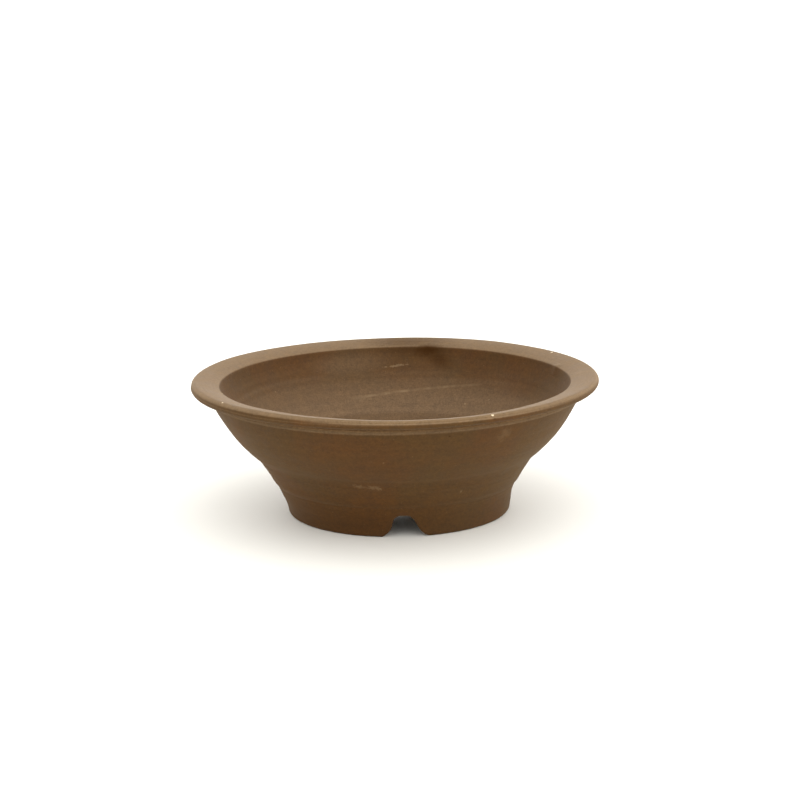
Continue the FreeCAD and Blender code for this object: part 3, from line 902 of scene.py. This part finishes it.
def clay_material():
    """Unglazed fired clay: mottled brown, drier on the lip, with grit, turning lines, dark patches, scuffs
    and chips, and painted light and shade on the lip's edge, the groove under it and the foot.
    """
    material, g = new_material("unglazed_clay")
    at = find_place(g)
    lines = turning_lines(g, at)
    mottle = g.noise(at.position, 0.11, 4.0, 0.6)
    grain = g.noise(at.position, 1.1, 3.0, 0.65)
    pale_grit = grit(g, at.position, 0.55, 0.30, 3.0)
    dark_grit = grit(g, at.position, 0.48, 0.33, 71.0)
    colour = clay_colour(g, at, mottle, grain, lines)
    colour = g.mix(g.product(pale_grit, 0.30), colour, CLAY_PALE)
    colour = g.mix(g.product(dark_grit, 0.55), colour, CLAY_DARK)

    ragged = g.fit(g.noise(at.position, 0.45, 3.0, 0.7), 0.25, 0.75, -0.55, 0.55)
    # dark patches at the back lip, and a painted shadow beneath one chip
    dark_patch_and_shadow = all_spots(g, at.position, DARK_PATCHES_AND_SHADOW, g.product(ragged, 0.15), 0.98)
    colour = g.mix(dark_patch_and_shadow, colour, CLAY_DARK)
    scuff = g.math("MAXIMUM", all_spots(g, at.position, SCUFFS, ragged, 0.8), long_scratch(g, at))
    colour = g.mix(scuff, colour, CLAY_PALE)
    chips = [Mark(math.degrees(c.turn), c.r, c.z, c.along, c.across, 2.0) for c in CHIPS]
    colour = g.mix(all_spots(g, at.position, chips, g.product(ragged, 0.6), 0.25), colour, CREAM)

    rough = g.total(g.fit(mottle, 0.3, 0.7, 0.72, 0.82), g.product(scuff, 0.1))
    gloss = g.product(g.math("SUBTRACT", 1.0, dark_patch_and_shadow), 0.15)
    specks = g.product(g.math("SUBTRACT", pale_grit, dark_grit), 0.35)
    height = g.total(g.product(grain, 0.55), g.product(lines[0], 0.55), specks)
    normal = g.add("ShaderNodeBump", {"Height": height, "Strength": 0.55, "Distance": 0.12 * MM})
    g.surface(Base_Color=colour, Roughness=rough, Normal=normal, Specular_IOR_Level=gloss,
              Sheen_Weight=0.08, Sheen_Roughness=0.5, Sheen_Tint=(1.0, 0.74, 0.42, 1.0))
    return material


def net_material():
    """Black moulded plastic, a little dusty, with a soft shine."""
    material, g = new_material("net_plastic")
    coordinates = g.tree.nodes.new("ShaderNodeTexCoord").outputs["Object"]
    dust = g.fit(g.noise(coordinates, 260.0, 4.0, 0.6), 0.45, 0.75)
    grain = g.noise(coordinates, 2600.0, 2.0)
    colour = g.mix(g.product(dust, 0.35), (0.016, 0.016, 0.014, 1.0), (0.11, 0.090, 0.065, 1.0))
    rough = g.fit(dust, 0.0, 1.0, 0.45, 0.78)
    normal = g.add("ShaderNodeBump", {"Height": grain, "Strength": 0.25, "Distance": 0.03 * MM})
    g.surface(Base_Color=colour, Roughness=rough, Normal=normal, Specular_IOR_Level=0.3)
    return material


def wire_material():
    """Brown anodised aluminium wire, paler where it was bent over a tool."""
    material, g = new_material("clip_wire")
    coordinates = g.tree.nodes.new("ShaderNodeTexCoord").outputs["Object"]
    worn = g.fit(g.noise(coordinates, 420.0, 4.0, 0.7), 0.55, 0.72)
    drawn = g.noise(g.vector("MULTIPLY", _0=coordinates, _1=(300.0, 4000.0, 4000.0)), 1.0, 2.0)
    colour = g.mix(g.product(worn, 0.6), (0.33, 0.20, 0.12, 1.0), (0.62, 0.54, 0.45, 1.0))
    normal = g.add("ShaderNodeBump", {"Height": drawn, "Strength": 0.2, "Distance": 0.02 * MM})
    g.surface(Base_Color=colour, Metallic=1.0, Roughness=g.fit(worn, 0.0, 1.0, 0.32, 0.5), Normal=normal)
    return material


# ---------------------------------------------------------------- net and clip

def finish_net(material):
    """The net keeps its CAD shape, with the edges of its bars rounded."""
    net = frame["nodes"]["drain_net"]
    net.data.materials.clear()
    net.data.materials.append(material)
    weld = net.modifiers.new("weld", "WELD")
    weld.merge_threshold = 0.01 * MM
    bevel = net.modifiers.new("rounded", "BEVEL")
    bevel.width = 0.16 * MM
    bevel.segments = 2
    bevel.limit_method = "ANGLE"


def finish_clip(material):
    clip = frame["nodes"]["net_clip"]
    clip.data.materials.clear()
    clip.data.materials.append(material)


# ---------------------------------------------------------------- setting

FLOOR_COLOUR = (0.785, 0.77, 0.715, 1.0)


def floor():
    """A wide pale floor."""
    half = 30.0
    corners = [(-half, -half, 0), (half, -half, 0), (half, half, 0), (-half, half, 0)]
    mesh = bpy.data.meshes.new("floor")
    mesh.from_pydata(corners, [], [(0, 1, 2, 3)])
    material, g = new_material("pale_floor")
    g.surface(Base_Color=FLOOR_COLOUR, Roughness=0.85, Specular_IOR_Level=0.2)
    mesh.materials.append(material)
    ground = bpy.data.objects.new("floor", mesh)
    bpy.context.scene.collection.objects.link(ground)


class Lobe(NamedTuple):
    """Part of the sky: brightest towards one axis direction, and narrower the higher its power."""

    towards: tuple
    power: float
    strength: float


SKY_EVEN = 0.05
SKY = [
    Lobe((0, 0, 1), 1.0, 1.15),
    Lobe((0, 0, 1), 4.0, 0.30),
    Lobe((1, 0, 0), 1.0, 0.45),
    Lobe((1, 0, 0), 4.0, 2.50),
    Lobe((-1, 0, 0), 1.0, 0.65),
    Lobe((0, 1, 0), 4.0, 4.20),
    Lobe((0, -1, 0), 1.0, 1.70),
]


def world():
    """Soft light as in a white tent: bright overhead, on the right and behind, dimmer in front."""
    made = bpy.data.worlds.new("tent")
    made.use_nodes = True
    g = Graph(made)
    direction = g.add("ShaderNodeTexCoord", {}, "Generated")
    strength = SKY_EVEN
    for lobe in SKY:
        along = g.math("MAXIMUM", g.vector("DOT_PRODUCT", output=1, _0=direction, _1=lobe.towards), 0.0)
        strength = g.math("MULTIPLY_ADD", g.math("POWER", along, lobe.power), lobe.strength, strength)
    background = g.tree.nodes["Background"]
    g.put(background, "Color", (1.0, 1.0, 1.0, 1.0))
    g.put(background, "Strength", strength)
    bpy.context.scene.world = made


CAMERA_DISTANCE = 1.33625
CAMERA_HEIGHT = 0.36363
CAMERA_SIDE = math.radians(2.8)
CAMERA_HEADING = math.radians(2.92)
CAMERA_PITCH = math.radians(12.454)
CAMERA_ROLL = math.radians(-0.9185)
LENS = 99.9
SENSOR = 36.0


def camera():
    """Stands a little left of the front notch and looks down over the near lip."""
    data = bpy.data.cameras.new("camera")
    data.lens = LENS
    data.sensor_width = SENSOR
    made = bpy.data.objects.new("camera", data)
    back, side_step = -CAMERA_DISTANCE * math.cos(CAMERA_SIDE), -CAMERA_DISTANCE * math.sin(CAMERA_SIDE)
    stand = Matrix.Translation(Vector((side_step, back, CAMERA_HEIGHT)))
    look = Euler((math.pi / 2 - CAMERA_PITCH, 0, -CAMERA_HEADING)).to_matrix()
    made.matrix_world = stand @ (look @ Matrix.Rotation(CAMERA_ROLL, 3, "Z")).to_4x4()
    bpy.context.scene.collection.objects.link(made)
    bpy.context.scene.camera = made


def build():
    clay = clay_material()
    make_bowl(clay)
    make_lip(clay)
    make_bead(clay)
    make_foot(clay)
    make_foot_coil(clay)
    finish_net(net_material())
    finish_clip(wire_material())
    floor()
    world()
    camera()
    bpy.context.scene.view_settings.view_transform = "Standard"


build()
